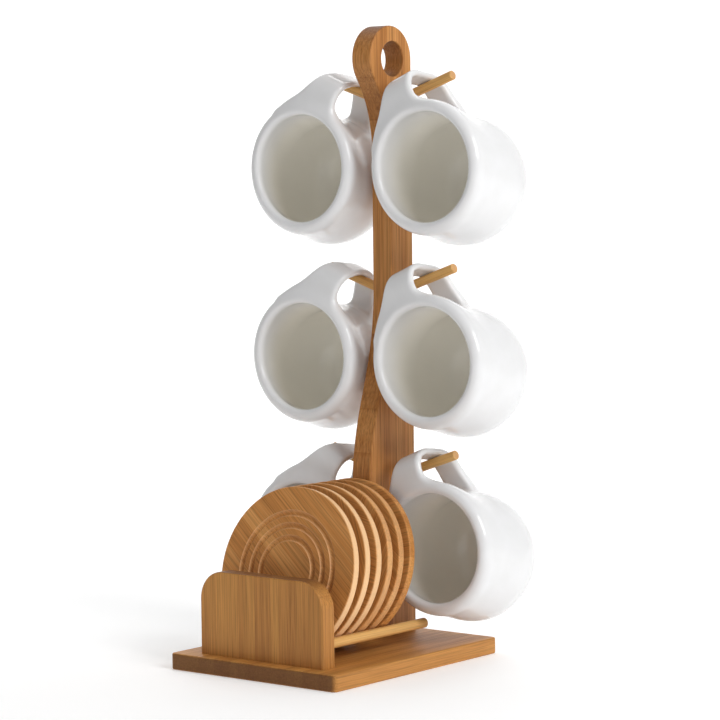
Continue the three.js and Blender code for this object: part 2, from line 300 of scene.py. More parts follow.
@dataclass(frozen=True)
class Glaze:
    """White gloss glaze over cast stoneware.

    The glaze is thick and glassy, so the eye sees sharp highlights on a very slightly wavy skin, a faint
    warm cloudiness in the white, and a dry, sandy ring where the foot was wiped clean for the kiln. Inside
    the cavity the white is painted brighter and warmer, a painted fill light for the bounce off the bamboo.
    """

    name: str = "gloss_glaze_on_stoneware"
    white: str = "#ebebec"
    cloud: str = "#e7e7e7"
    # painted fill light of the cavity: brighter and warmer than the outer glaze, for light bounced in from
    # the bamboo
    painted_inner_light: str = "#fdf9ee"
    clay: str = "#d8cfc0"
    cloud_size: float = 14.0  # mm
    foot_depth: float = 67.2  # mm from the mouth, past which the clay is bare
    wave: float = 9.0  # mm, size of the waves in the skin
    sand: float = 0.35  # mm, grit of the bare clay

    def build(self) -> bpy.types.Material:
        """Makes the material, which reads the clay and inside attributes of a mug.

        Returns:
            The finished material.
        """
        material, tree = new_material(self.name)
        place = add(tree, "ShaderNodeAttribute", attribute_name="clay").outputs["Vector"]
        depth = add(tree, "ShaderNodeSeparateXYZ", {"Vector": place}).outputs["Y"]
        bare = add(tree, "ShaderNodeMapRange", {
            "Value": depth, "From Min": (self.foot_depth - 0.3) * MM,
            "From Max": self.foot_depth * MM}).outputs[0]
        cloud = noise(tree, place, self.cloud_size, 3.0)
        outside = ramp(tree, cloud, [(0.3, linear(self.white)), (0.75, linear(self.cloud))])
        # Painted fill light: deep in the cavity the glaze colour goes to a brighter, warmer tone.
        inside = add(tree, "ShaderNodeAttribute", attribute_name="inside").outputs["Fac"]
        skin = add(tree, "ShaderNodeMix", {"Factor": inside, 6: outside, 7: linear(self.painted_inner_light)},
                   data_type="RGBA").outputs[2]
        colour = add(tree, "ShaderNodeMix", {"Factor": bare, 6: skin, 7: linear(self.clay)},
                     data_type="RGBA").outputs[2]
        gloss = add(tree, "ShaderNodeMapRange", {
            "Value": cloud, "From Min": 0.3, "From Max": 0.7, "To Min": 0.1, "To Max": 0.17}).outputs[0]
        rough = add(tree, "ShaderNodeMix", {"Factor": bare, "A": gloss, "B": 0.85}).outputs[0]
        waves = noise(tree, place, self.wave, 1.0)
        grit = noise(tree, place, self.sand, 2.0)
        sandy = calc(tree, "MULTIPLY", grit, bare)
        wavy = add(tree, "ShaderNodeBump", {
            "Height": waves, "Strength": 0.25, "Distance": 0.12 * MM}).outputs[0]
        bump = add(tree, "ShaderNodeBump", {"Height": sandy, "Strength": 0.5, "Distance": 0.08 * MM,
                                            "Normal": wavy}).outputs[0]
        finish_surface(tree, {"Base Color": colour, "Roughness": rough, "Normal": bump, "IOR": 1.52})
        return material


@dataclass(frozen=True)
class ZincSteel:
    """Zinc plated steel of a wood screw: a greyish metal with a fine turned grain and duller patches."""

    name: str = "zinc_plated_steel"
    bright: str = "#c3c6ca"
    dull: str = "#8f9297"
    grain: float = 0.25  # mm, turned grain
    patch_size: float = 1.5  # mm

    def build(self) -> bpy.types.Material:
        """Makes the material on object coordinates.

        Returns:
            The finished material.
        """
        material, tree = new_material(self.name)
        place = add(tree, "ShaderNodeTexCoord").outputs["Object"]
        patch = noise(tree, place, self.patch_size, 3.0)
        lines = noise(tree, place, self.grain, 1.0)
        colour = ramp(tree, patch, [(0.35, linear(self.bright)), (0.7, linear(self.dull))])
        rough = add(tree, "ShaderNodeMapRange", {"Value": patch, "To Min": 0.28, "To Max": 0.48}).outputs[0]
        bump = add(tree, "ShaderNodeBump", {
            "Height": lines, "Strength": 0.3, "Distance": 0.03 * MM}).outputs[0]
        finish_surface(tree, {"Base Color": colour, "Metallic": 1.0, "Roughness": rough, "Normal": bump})
        return material


@dataclass(frozen=True)
class PaperBackdrop:
    """Matt white studio paper with a barely seen tooth."""

    name: str = "studio_paper"
    white: str = "#f7f7f7"
    glow: float = 0.2  # lit through from behind
    tooth: float = 2.0  # mm

    def build(self) -> bpy.types.Material:
        """Makes the material on object coordinates.

        Returns:
            The finished material.
        """
        material, tree = new_material(self.name)
        place = add(tree, "ShaderNodeTexCoord").outputs["Object"]
        tooth = noise(tree, place, self.tooth, 2.0)
        bump = add(tree, "ShaderNodeBump", {
            "Height": tooth, "Strength": 0.05, "Distance": 0.05 * MM}).outputs[0]
        finish_surface(tree, {"Base Color": linear(self.white), "Roughness": 0.9, "Normal": bump,
                              "Emission Color": grey(1.0), "Emission Strength": self.glow})
        return material


# ---------------------------------------------------------------- mesh helpers


@dataclass
class NodeBox:
    """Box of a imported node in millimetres."""

    low: np.ndarray
    high: np.ndarray

    @classmethod
    def of(cls, node: str) -> "NodeBox":
        """Reads the box of one node.

        Args:
            node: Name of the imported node.

        Returns:
            Its box.
        """
        low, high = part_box(node)
        return cls(np.array(low) / MM, np.array(high) / MM)

    @property
    def centre(self) -> np.ndarray:
        """Middle of the box."""
        return (self.low + self.high) / 2

    @property
    def size(self) -> np.ndarray:
        """Extent along each axis."""
        return self.high - self.low


def mesh_object(name: str, points: Sequence, faces: Sequence, edges: Sequence = ()) -> bpy.types.Object:
    """Makes an object from points in millimetres.

    Args:
        name: Name of the object and its mesh.
        points: Vertex positions.
        faces: Vertex numbers of each face.
        edges: Vertex numbers of loose edges.

    Returns:
        An object at the origin, in the scene.
    """
    mesh = bpy.data.meshes.new(name)
    mesh.from_pydata([tuple(c * MM for c in p) for p in points], list(edges), list(faces))
    piece = bpy.data.objects.new(name, mesh)
    bpy.context.scene.collection.objects.link(piece)
    return piece


def bake_modifiers(piece: bpy.types.Object) -> None:
    """Replaces an object's mesh by its evaluated one and takes the modifiers off.

    Args:
        piece: Object whose modifiers are applied.
    """
    graph = bpy.context.evaluated_depsgraph_get()
    mesh = bpy.data.meshes.new_from_object(piece.evaluated_get(graph))
    piece.modifiers.clear()
    old, piece.data = piece.data, mesh
    mesh.name = piece.name
    bpy.data.meshes.remove(old)


def clean(piece: bpy.types.Object, merge: float = 0.0005) -> None:
    """Merges doubled vertices and turns all faces outwards.

    Args:
        piece: Object with a closed mesh.
        merge: Merging distance in millimetres.
    """
    net = bmesh.new()
    net.from_mesh(piece.data)
    bmesh.ops.remove_doubles(net, verts=net.verts, dist=merge * MM)
    bmesh.ops.dissolve_degenerate(net, edges=net.edges, dist=merge * MM)
    bmesh.ops.recalc_face_normals(net, faces=net.faces)
    net.to_mesh(piece.data)
    net.free()


def smooth(piece: bpy.types.Object, sharp_angle: float = 40.0) -> None:
    """Shades a piece smoothly, keeps edges past an angle sharp and flat faces flat.

    Args:
        piece: Object to shade.
        sharp_angle: Edges that bend more than these degrees stay sharp.
    """
    piece.data.shade_smooth()
    piece.data.set_sharp_from_angle(angle=math.radians(sharp_angle))
    modifier = piece.modifiers.new("flat_faces", "WEIGHTED_NORMAL")
    modifier.keep_sharp = True
    bake_modifiers(piece)


def cut(piece: bpy.types.Object, tools: Sequence[bpy.types.Object]) -> None:
    """Cuts closed tools out of a closed piece and removes the tools.

    Args:
        piece: Piece that is cut.
        tools: Closed objects to cut away.
    """
    for tool in tools:
        modifier = piece.modifiers.new("cut", "BOOLEAN")
        modifier.operation = "DIFFERENCE"
        modifier.solver = "EXACT"
        modifier.object = tool
    bake_modifiers(piece)
    for tool in tools:
        bpy.data.objects.remove(tool)


def arc(centre: Point2, radius: float, start: float, end: float, steps: int) -> list[Point2]:
    """Points along an arc.

    Args:
        centre: Middle of the arc.
        radius: Its radius.
        start: First angle in degrees.
        end: Last angle in degrees.
        steps: Number of steps, which gives one more point.

    Returns:
        The points, ends included.
    """
    angles = np.radians(np.linspace(start, end, steps + 1))
    return [(centre[0] + radius * math.cos(a), centre[1] + radius * math.sin(a)) for a in angles]


def bezier(a: Point2, b: Point2, c: Point2, d: Point2, steps: int) -> list[Point2]:
    """Points along a cubic curve, without its first point.

    Args:
        a: Start of the curve.
        b: Point it leaves towards.
        c: Point it arrives from.
        d: End of the curve.
        steps: Number of points.

    Returns:
        The points, the end included.
    """
    points = []
    for t in np.linspace(0, 1, steps + 1)[1:]:
        weights = ((1 - t) ** 3, 3 * t * (1 - t) ** 2, 3 * t * t * (1 - t), t ** 3)
        points.append(tuple(sum(w * p[i] for w, p in zip(weights, (a, b, c, d))) for i in (0, 1)))
    return points


def plate(name: str, rings: Sequence[Sequence[Point2]], thickness: float,
          edge_round: float) -> bpy.types.Object:
    """Raises outlines into a plate with rounded edges.

    Args:
        name: Name of the piece.
        rings: Outer outline, then any holes, in millimetres.
        thickness: Height of the plate along Z.
        edge_round: Radius along all its edges.

    Returns:
        The plate, from z = 0 up.
    """
    curve = bpy.data.curves.new(name, "CURVE")
    curve.dimensions = "2D"
    curve.fill_mode = "BOTH"
    for ring in rings:
        line = curve.splines.new("POLY")
        line.points.add(len(ring) - 1)
        for point, (x, y) in zip(line.points, ring):
            point.co = (x * MM, y * MM, 0, 1)
        line.use_cyclic_u = True
    curve.extrude = (thickness / 2 - edge_round) * MM
    curve.bevel_depth = edge_round * MM
    curve.bevel_resolution = 3
    curve.offset = -edge_round * MM
    source = bpy.data.objects.new(name + "_outline", curve)
    bpy.context.scene.collection.objects.link(source)
    bpy.context.view_layer.update()
    graph = bpy.context.evaluated_depsgraph_get()
    mesh = bpy.data.meshes.new_from_object(source.evaluated_get(graph))
    mesh.transform(Matrix.Translation((0, 0, thickness / 2 * MM)))
    bpy.data.objects.remove(source)
    piece = bpy.data.objects.new(name, mesh)
    bpy.context.scene.collection.objects.link(piece)
    clean(piece)
    return piece


def mark_fibre(piece: bpy.types.Object, turn: Matrix, shift: Sequence[float]) -> None:
    """Stores where each point lies in its own stick of bamboo and which faces cut across the fibres.

    Args:
        piece: Finished wooden piece.
        turn: Rotation from object axes to across, through and along the fibres.
        shift: Offset in millimetres, so that no two pieces show the same strips.
    """
    mesh = piece.data
    matrix = np.array(turn.to_3x3())
    points = np.empty(len(mesh.vertices) * 3, np.float32)
    mesh.vertices.foreach_get("co", points)
    fibre = points.reshape(-1, 3) @ matrix.T + np.array(shift) * MM
    place = mesh.attributes.new("fibre", "FLOAT_VECTOR", "POINT")
    place.data.foreach_set("vector", fibre.ravel().astype(np.float32))
    normals = np.array([p.normal for p in mesh.polygons]).reshape(-1, 3)
    across = np.abs(normals @ matrix[2]) ** 3
    ends = mesh.attributes.new("end_grain_and_rim_highlight", "FLOAT", "FACE")
    ends.data.foreach_set("value", across.astype(np.float32))


def hand_over(piece: bpy.types.Object, body: str, nodes: Sequence[str],
              material: bpy.types.Material) -> None:
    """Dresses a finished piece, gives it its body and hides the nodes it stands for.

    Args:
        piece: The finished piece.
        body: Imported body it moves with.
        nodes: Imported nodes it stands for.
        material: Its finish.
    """
    piece.data.materials.clear()
    piece.data.materials.append(material)
    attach(piece, body)
    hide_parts(*nodes)
    LOG.info("%s: %d faces on %s", piece.name, len(piece.data.polygons), body)


# ---------------------------------------------------------------- turning


class Turning:
    """Geometry Nodes tree that turns a side profile about Z, tilts it and puts it in place.

    The object that carries the modifier holds the profile: a line of points in the XZ plane, from the axis
    and back to the axis.
    """

    def __init__(self) -> None:
        """Builds the tree."""
        tree = bpy.data.node_groups.new("turning", "GeometryNodeTree")
        self.tree = tree
        face = tree.interface
        face.new_socket("Profile", in_out="INPUT", socket_type="NodeSocketGeometry")
        for name, kind in (("Steps", "NodeSocketInt"), ("Tilt", "NodeSocketVector"),
                           ("Place", "NodeSocketVector"), ("Merge", "NodeSocketFloat"),
                           ("Material", "NodeSocketMaterial")):
            face.new_socket(name, in_out="INPUT", socket_type=kind)
        face.new_socket("Geometry", in_out="OUTPUT", socket_type="NodeSocketGeometry")
        self.keys = {item.name: item.identifier for item in face.items_tree if item.in_out == "INPUT"}
        self._wire()

    def _wire(self) -> None:
        """Adds the nodes: a grid whose columns follow the profile and whose rows go round the axis."""
        tree = self.tree
        given = add(tree, "NodeGroupInput").outputs
        size = add(tree, "GeometryNodeAttributeDomainSize", {"Geometry": given["Profile"]}, component="MESH")
        count = size.outputs["Point Count"]
        rows = calc(tree, "ADD", given["Steps"], 1.0)
        grid = add(tree, "GeometryNodeMeshGrid", {
            "Size X": 1.0, "Size Y": 1.0, "Vertices X": count, "Vertices Y": rows}).outputs["Mesh"]
        here = add(tree, "GeometryNodeInputPosition").outputs[0]
        axes = add(tree, "ShaderNodeSeparateXYZ", {0: here}).outputs
        share = calc(tree, "ADD", axes["X"], 0.5)
        last = calc(tree, "SUBTRACT", count, 1.0)
        number = calc(tree, "ROUND", calc(tree, "MULTIPLY", share, last))
        lap = calc(tree, "ADD", axes["Y"], 0.5)
        angle = calc(tree, "MULTIPLY", lap, 2 * math.pi)
        sample = add(tree, "GeometryNodeSampleIndex", {"Geometry": given["Profile"], "Index": number},
                     data_type="FLOAT_VECTOR")
        tree.links.new(here, sample.inputs["Value"])
        side = add(tree, "ShaderNodeSeparateXYZ", {0: sample.outputs["Value"]}).outputs
        east = calc(tree, "MULTIPLY", side["X"], calc(tree, "COSINE", angle))
        north = calc(tree, "MULTIPLY", side["X"], calc(tree, "SINE", angle))
        spot = add(tree, "ShaderNodeCombineXYZ", {"X": east, "Y": north, "Z": side["Z"]}).outputs[0]
        turned = add(tree, "GeometryNodeSetPosition", {"Geometry": grid, "Position": spot}).outputs[0]
        closed = add(tree, "GeometryNodeMergeByDistance", {
            "Geometry": turned, "Distance": given["Merge"]}).outputs[0]
        placed = add(tree, "GeometryNodeTransform", {
            "Geometry": closed, "Translation": given["Place"], "Rotation": given["Tilt"]}).outputs[0]
        solid = add(tree, "GeometryNodeRealizeInstances", {"Geometry": placed}).outputs[0]
        dressed = add(tree, "GeometryNodeSetMaterial", {
            "Geometry": solid, "Material": given["Material"]}).outputs[0]
        add(tree, "NodeGroupOutput", {"Geometry": dressed})

    def turn(self, name: str, profile: Sequence[Point2], place: Sequence[float], tilt: Sequence[float],
             material: bpy.types.Material | None = None, steps: int = 48) -> bpy.types.Object:
        """Turns one piece.

        Args:
            name: Name of the piece.
            profile: Radius and height of each point in millimetres, from axis to axis.
            place: Where the profile's origin goes, in millimetres.
            tilt: Euler angles in degrees that tilt the turned piece.
            material: Finish, or none for a cutting tool.
            steps: Flats around the axis.

        Returns:
            The turned piece as a plain closed mesh.
        """
        points = [(radius, 0.0, height) for radius, height in profile]
        piece = mesh_object(name, points, [], [(i, i + 1) for i in range(len(points) - 1)])
        modifier = piece.modifiers.new("turning", "NODES")
        modifier.node_group = self.tree
        modifier[self.keys["Steps"]] = steps
        modifier[self.keys["Tilt"]] = tuple(math.radians(a) for a in tilt)
        modifier[self.keys["Place"]] = tuple(c * MM for c in place)
        modifier[self.keys["Merge"]] = 0.001 * MM
        modifier[self.keys["Material"]] = material
        bake_modifiers(piece)
        clean(piece)
        return piece


def dowel_profile(radius: float, length: float, chamfer: float) -> list[Point2]:
    """Side profile of a dowel with chamfered ends.

    Args:
        radius: Its radius.
        length: Its length, chamfers included.
        chamfer: Size of the chamfers.

    Returns:
        Radius and height of each point, the dowel's middle at the origin.
    """
    low, high = -length / 2, length / 2
    rounding = chamfer * 0.35
    return [(0, low), (radius - chamfer, low), (radius - rounding, low + chamfer * 0.7),
            (radius, low + chamfer), (radius, high - chamfer), (radius - rounding, high - chamfer * 0.7),
            (radius - chamfer, high), (0, high)]


# ---------------------------------------------------------------- wooden rack


@dataclass
class WoodScrews:
    """Four countersunk wood screws that come up through the base board."""

    turning: Turning
    finish: ZincSteel = field(default_factory=ZincSteel)
    nodes: tuple[str, ...] = ("post_screw_front", "post_screw_rear", "panel_screw_left", "panel_screw_right")
    shank_radius: float = 1.9
    head_radius: float = 3.9
    head_depth: float = 2.6
    thread_pitch: float = 1.6
    clearance: float = 0.3
    slot_half: float = 0.45
    head_rim: float = 0.35  # straight edge of the head
    thread_start: float = 3.0  # above the head
    thread_end: float = 4.0  # below the tip
    thread_depth: float = 0.45
    point_length: float = 3.2

    def profile(self, height: float, grow: float) -> list[Point2]:
        """Side profile from the head up to the point.

        Args:
            height: Length of the screw.
            grow: Clearance, which also leaves the thread out, or 0 for the screw itself.

        Returns:
            Radius and height of each point.
        """
        shank, head = self.shank_radius + grow, self.head_radius + grow
        points = [(0, -2 * grow), (head, -2 * grow), (head, self.head_rim),
                  (shank, self.head_depth + grow)]
        level = self.head_depth + self.thread_start
        root = shank - self.thread_depth
        while not grow and level < height - self.thread_end:
            points += [(root, level), (shank, level + 0.35), (shank, level + 0.55), (root, level + 0.9)]
            level += self.thread_pitch
        return points + [(shank, height - self.point_length + grow), (0, height + grow)]

    def holes(self, nodes: Sequence[str]) -> list[bpy.types.Object]:
        """Cutting tools for the holes of some of the screws.

        Args:
            nodes: Names of the screws.

        Returns:
            One closed tool for each screw.
        """
        tools = []
        for node in nodes:
            box = NodeBox.of(node)
            place = (box.centre[0], box.centre[1], box.low[2])
            profile = self.profile(box.size[2], self.clearance)
            tools.append(self.turning.turn("hole_tool", profile, place, (0, 0, 0), steps=32))
        return tools

    def build(self) -> None:
        """Turns the screws and cuts a cross recess into each head."""
        steel = self.finish.build()
        for node in self.nodes:
            box = NodeBox.of(node)
            place = (box.centre[0], box.centre[1], box.low[2])
            profile = self.profile(box.size[2], 0.0)
            piece = self.turning.turn("wood_" + node, profile, place, (0, 0, 0), steel, 32)
            cut(piece, [self.blade(place, 0), self.blade(place, 90)])
            clean(piece)
            smooth(piece, 35)
            hand_over(piece, RACK, [node], steel)

    def blade(self, place: Sequence[float], angle: float) -> bpy.types.Object:
        """One tapered blade of the cross recess.

        Args:
            place: Middle of the head's face, in millimetres.
            angle: Turn about Z in degrees.

        Returns:
            A closed cutting tool.
        """
        long, short, half, deep = 2.3, 0.7, self.slot_half, 1.7
        corners = [(-long, -half, -1), (long, -half, -1), (long, half, -1), (-long, half, -1),
                   (-short, -half, deep), (short, -half, deep), (short, half, deep), (-short, half, deep)]
        faces = [(3, 2, 1, 0), (4, 5, 6, 7), (0, 1, 5, 4), (1, 2, 6, 5), (2, 3, 7, 6), (3, 0, 4, 7)]
        blade = mesh_object("recess_tool", corners, faces)
        turn = Matrix.Translation(Vector(place) * MM) @ Matrix.Rotation(math.radians(angle), 4, "Z")
        blade.data.transform(turn)
        return blade


@dataclass
class BaseBoard:
    """Flat board that everything stands on, its fibres running from front to back."""

    screws: WoodScrews
    corner_radius: float = 3.0
    edge_round: float = 1.0

    def build(self, material: bpy.types.Material) -> None:
        """Builds the board with its screw holes.

        Args:
            material: Its finish.
        """
        box = NodeBox.of("base_board")
        x, y = box.size[0] / 2, box.size[1] / 2
        radius = self.corner_radius
        ring = []
        for quarter, (sx, sy) in enumerate(((1, 1), (-1, 1), (-1, -1), (1, -1))):
            centre = (sx * (x - radius), sy * (y - radius))
            ring += arc(centre, radius, 90 * quarter, 90 * quarter + 90, 8)
        piece = plate("base_plank", [ring], box.size[2], self.edge_round)
        cut(piece, self.screws.holes(self.screws.nodes))
        clean(piece)
        smooth(piece)
        mark_fibre(piece, Matrix(Grain.DEEP.value), (41, 3, 0))
        hand_over(piece, RACK, ["base_board"], material)


@dataclass
class FrontPanel:
    """Upright panel that keeps the coasters in, with round shoulders."""

    turning: Turning
    screws: WoodScrews
    corner_radius: float = 17.0
    edge_round: float = 1.0
    rail_clearance: float = 0.3
    tool_margin: float = 9.0  # how far the tool that trims the foot reaches past it

    def build(self, material: bpy.types.Material) -> None:
        """Builds the panel with its screw holes and rail sockets.

        Args:
            material: Its finish.
        """
        box = NodeBox.of("front_panel")
        half, height, radius = box.size[0] / 2, box.size[2], self.corner_radius
        foot = -self.edge_round
        ring = [(-half, foot), (half, foot)]
        ring += arc((half - radius, height - radius), radius, 0, 90, 20)
        ring += arc((-half + radius, height - radius), radius, 90, 180, 20)
        piece = plate("rack_panel", [ring], box.size[1], self.edge_round)
        stand = Matrix.Rotation(math.radians(90), 4, "X")
        piece.data.transform(Matrix.Translation((0, box.high[1] * MM, box.low[2] * MM)) @ stand)
        more = self.tool_margin
        slab = [(x, y, z) for z in (box.low[2] - more, box.low[2])
                for y in (box.low[1] - more, box.high[1] + more) for x in (-half - more, half + more)]
        faces = [(0, 2, 3, 1), (4, 5, 7, 6), (0, 1, 5, 4), (2, 6, 7, 3), (0, 4, 6, 2), (1, 3, 7, 5)]
        tools = [mesh_object("foot_tool", slab, faces)]
        tools += self.screws.holes(["panel_screw_left", "panel_screw_right"])
        tools += [self.socket(side) for side in SIDES]
        cut(piece, tools)
        clean(piece)
        smooth(piece)
        mark_fibre(piece, Matrix(Grain.UP.value), (17, 5, 23))
        hand_over(piece, RACK, ["front_panel"], material)

    def socket(self, side: str) -> bpy.types.Object:
        """Cutting tool for the blind hole that holds a rail.

        Args:
            side: Left or right.

        Returns:
            A closed cutting tool.
        """
        rail = NodeBox.of("rail_" + side)
        radius = rail.size[2] / 2 + self.rail_clearance
        length = rail.size[1] + self.rail_clearance
        profile = [(0, 0), (radius, 0), (radius, length), (0, length)]
        place = (rail.centre[0], rail.low[1] - self.rail_clearance, rail.centre[2])
        return self.turning.turn("socket_tool", profile, place, (-90, 0, 0), steps=40)


@dataclass
class Post:
    """Upright board with a broad foot, a slim neck and a round head with a carrying hole."""

    turning: Turning
    screws: WoodScrews
    foot_width: float = 45.0
    neck_width: float = 22.0
    head_radius: float = 20.3
    hole_radius: float = 10.7
    hole_shift: float = 1.8
    foot_top: float = 97.0
    neck_bottom: float = 228.0
    neck_top: float = 308.0
    blend: float = 36.0  # degrees below the level where the head leaves its circle
    edge_round: float = 1.0

    def outline(self, box: NodeBox) -> list[Point2]:
        """Side view in Y and Z, from the back foot over the head and down the curved front.

        Args:
            box: Box of the post's node.

        Returns:
            The closed outline.
        """
        back, front = box.high[1], box.high[1] - self.foot_width
        neck, radius = back - self.neck_width, self.head_radius
        middle = (back - radius, box.high[2] - radius)
        blend = math.radians(self.blend)
        edge = (middle[0] - radius * math.cos(blend), middle[1] - radius * math.sin(blend))
        pull = 0.67 * radius
        ring = [(back, box.low[2])] + arc(middle, radius, 0, 180 + self.blend, 64)
        leave = (edge[0] + pull * math.sin(blend), edge[1] - pull * math.cos(blend))
        ring += bezier(edge, leave, (neck, self.neck_top + 1.6 * pull), (neck, self.neck_top), 24)
        swing = (self.neck_bottom - self.foot_top) / 2.2
        start, end = (neck, self.neck_bottom), (front, self.foot_top)
        ring += [start] + bezier(start, (neck, start[1] - swing), (front, end[1] + swing), end, 32)
        return ring + [(front, box.low[2])]

    def build(self, material: bpy.types.Material) -> None:
        """Builds the post with its holes for pegs and screws.

        Args:
            material: Its finish.
        """
        box = NodeBox.of("post")
        middle = (box.high[1] - self.head_radius + self.hole_shift, box.high[2] - self.head_radius)
        hole = arc(middle, self.hole_radius, 360, 0, 56)[:-1]
        piece = plate("shaped_post", [self.outline(box), hole], box.size[0], self.edge_round)
        stand = Matrix(((0, 0, 1, box.low[0] * MM), (1, 0, 0, 0), (0, 1, 0, 0), (0, 0, 0, 1)))
        piece.data.transform(stand)
        clean(piece)
        tools = self.screws.holes(["post_screw_front", "post_screw_rear"])
        tools += [tool for side in SIDES for tool in Dowels.peg_tools(self.turning, side)]
        cut(piece, tools)
        clean(piece)
        smooth(piece)
        mark_fibre(piece, Matrix(Grain.UP.value) @ Matrix.Rotation(math.radians(90), 3, "Z"), (-3, 11, 0))
        hand_over(piece, RACK, ["post"], material)


@dataclass
class Dowels:
    """Six tilted pegs that hold the mugs and two level rails that hold the coasters."""

    turning: Turning
    chamfer: float = 0.6

    @staticmethod
    def peg_axis(side: str) -> tuple[float, float]:
        """Reads the tilt of a side's pegs from the way its mugs lift off.

        Args:
            side: Left or right.

        Returns:
            Tilt above the level and turn about Y, in degrees.
        """
        joint = next(j for j in frame["joints"] if j["name"] == f"mug_upper_{side}_lift_off")
        tilt = math.degrees(math.asin(joint["axis"][2]))
        return tilt, SIDES[side] * (90 - tilt)

    @classmethod
    def peg_size(cls, node: str, side: str) -> tuple[float, float]:
        """Works out how large a peg is from its box and tilt.

        Args:
            node: Name of the peg.
            side: Left or right.

        Returns:
            Radius and length in millimetres.
        """
        size = NodeBox.of(node).size
        tilt = math.radians(cls.peg_axis(side)[0])
        radius = size[1] / 2
        return radius, (size[0] - 2 * radius * math.sin(tilt)) / math.cos(tilt)

    @classmethod
    def peg_tools(cls, turning: Turning, side: str, clearance: float = 0.3) -> list[bpy.types.Object]:
        """Cutting tools for one side's peg holes in the post.

        Args:
            turning: The lathe.
            side: Left or right.
            clearance: Gap round the peg and past its end.

        Returns:
            One closed tool for each peg.
        """
        tools = []
        for row in ROWS:
            node = f"peg_{row}_{side}"
            radius, length = cls.peg_size(node, side)
            radius += clearance
            low, high = -length / 2 - clearance, length / 2
            profile = [(0, low), (radius, low), (radius, high), (0, high)]
            tilt = (0, cls.peg_axis(side)[1], 0)
            tools.append(turning.turn("peg_tool", profile, NodeBox.of(node).centre, tilt, steps=40))
        return tools

    def build(self, material: bpy.types.Material) -> None:
        """Turns all pegs and rails.

        Args:
            material: Their finish.
        """
        for side in SIDES:
            angle = self.peg_axis(side)[1]
            for index, row in enumerate(ROWS):
                node = f"peg_{row}_{side}"
                radius, length = self.peg_size(node, side)
                shift = (9 * index, 4 * SIDES[side], 50 * index)
                self.dowel(node, radius, length, (0, angle, 0), shift, material)
            rail = NodeBox.of("rail_" + side)
            shift = (31, 8 * SIDES[side], 7)
            self.dowel("rail_" + side, rail.size[2] / 2, rail.size[1], (-90, 0, 0), shift, material)

    def dowel(self, node: str, radius: float, length: float, tilt: Sequence[float], shift: Sequence[float],
              material: bpy.types.Material) -> None:
        """Turns one dowel along its node's middle.

        Args:
            node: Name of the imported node.
            radius: Radius in millimetres.
            length: Length in millimetres.
            tilt: Euler angles in degrees.
            shift: Offset of its fibres in millimetres.
            material: Its finish.
        """
        profile = dowel_profile(radius, length, self.chamfer)
        piece = self.turning.turn("turned_" + node, profile, NodeBox.of(node).centre, tilt, material, 40)
        smooth(piece, 30)
        turn = Matrix.Rotation(math.radians(tilt[1]), 3, "Y") @ Matrix.Rotation(math.radians(tilt[0]), 3, "X")
        mark_fibre(piece, turn.inverted(), shift)
        hand_over(piece, RACK, [node], material)


# ---------------------------------------------------------------- coasters


@dataclass
class Coasters:
    """Six round coasters, each turned from one board, with three round grooves in its face."""

    turning: Turning
    radius: float = 51.0
    thickness: float = 5.2
    lean: float = 14.0
    groove_radii: tuple[float, ...] = (20.0, 27.5, 35.0)
    groove_width: float = 4.0
    groove_depth: float = 1.3
    edge_round: float = 0.9
    grains: tuple[float, ...] = (38.0, 64.0, 12.0, -71.0, 35.0, -15.0)  # degrees, fibres against the level
    # How strongly each rim takes the painted highlight: full on the first coasters, weaker on the last ones
    # to paint the shade they lie in.
    painted_rim_highlights: tuple[float, ...] = (1.0, 1.0, 0.9, 0.35, 0.3, 0.0)

    def profile(self) -> list[Point2]:
        """Side profile from the middle of the back, round the rim, to the middle of the grooved face.

        Returns:
            Radius and height of each point.
        """
        top, edge, radius = self.thickness / 2, self.edge_round, self.radius
        points = [(0, -top)] + [(r, -top) for r in np.linspace(8, radius - edge - 3, 5)]
        points += arc((radius - edge, -top + edge), edge, -90, 0, 5)
        points += arc((radius - edge, top - edge), edge, 0, 90, 5)
        for groove in reversed(self.groove_radii):
            half = self.groove_width / 2
            points.append((groove + half + 0.9, top))
            for share in np.linspace(1, -1, 13):
                sunk = self.groove_depth * math.cos(share * math.pi / 2) ** 0.8
                points.append((groove + share * half, top - sunk))
            points.append((groove - half - 0.9, top))
        return points + [(8, top), (0, top)]

    @staticmethod
    def paint_rim_highlight(piece: bpy.types.Object, stand: Matrix, painted_highlight: float) -> None:
        """Paints a highlight on the rim through the end_grain_and_rim_highlight attribute: the pale rim tone
        stands for the key light on the rims.

        Args:
            piece: A turned coaster with its fibres marked.
            stand: Rotation that stands it in the rack.
            painted_highlight: How strongly the rim takes the painted highlight, from 0 to 1.
        """
        # Painted highlight: faces that point across the disc, the rim, go pale, scaled by paleness.
        faces = np.array([p.normal for p in piece.data.polygons]).reshape(-1, 3)
        rim = np.clip(1 - (faces @ np.array(stand)[:, 2]) ** 2, 0, 1) ** 2 * painted_highlight
        piece.data.attributes["end_grain_and_rim_highlight"].data.foreach_set("value", rim.astype(np.float32))

    def build(self, material: bpy.types.Material) -> None:
        """Turns the coasters and stands them in the rack, leaning back.

        Args:
            material: Their finish.
        """
        tilt = 90 - self.lean
        for index, grain in enumerate(self.grains):
            node = f"coaster_{index + 1}"
            place = NodeBox.of(node).centre
            piece = self.turning.turn("disc_" + node, self.profile(), place, (tilt, 0, 0), material, 128)
            smooth(piece, 50)
            stand = Matrix.Rotation(math.radians(tilt), 3, "X")
            spin = Matrix.Rotation(math.radians(grain), 3, "Z")
            fibres = Matrix(Grain.ACROSS.value) @ spin @ stand.inverted()
            mark_fibre(piece, fibres, (13 * index, 2 * index, 57 * index))
            # Paints the highlight of the key light on the rim, weaker on the coasters in shade.
            self.paint_rim_highlight(piece, stand, self.painted_rim_highlights[index])
            hand_over(piece, node, [node], material)


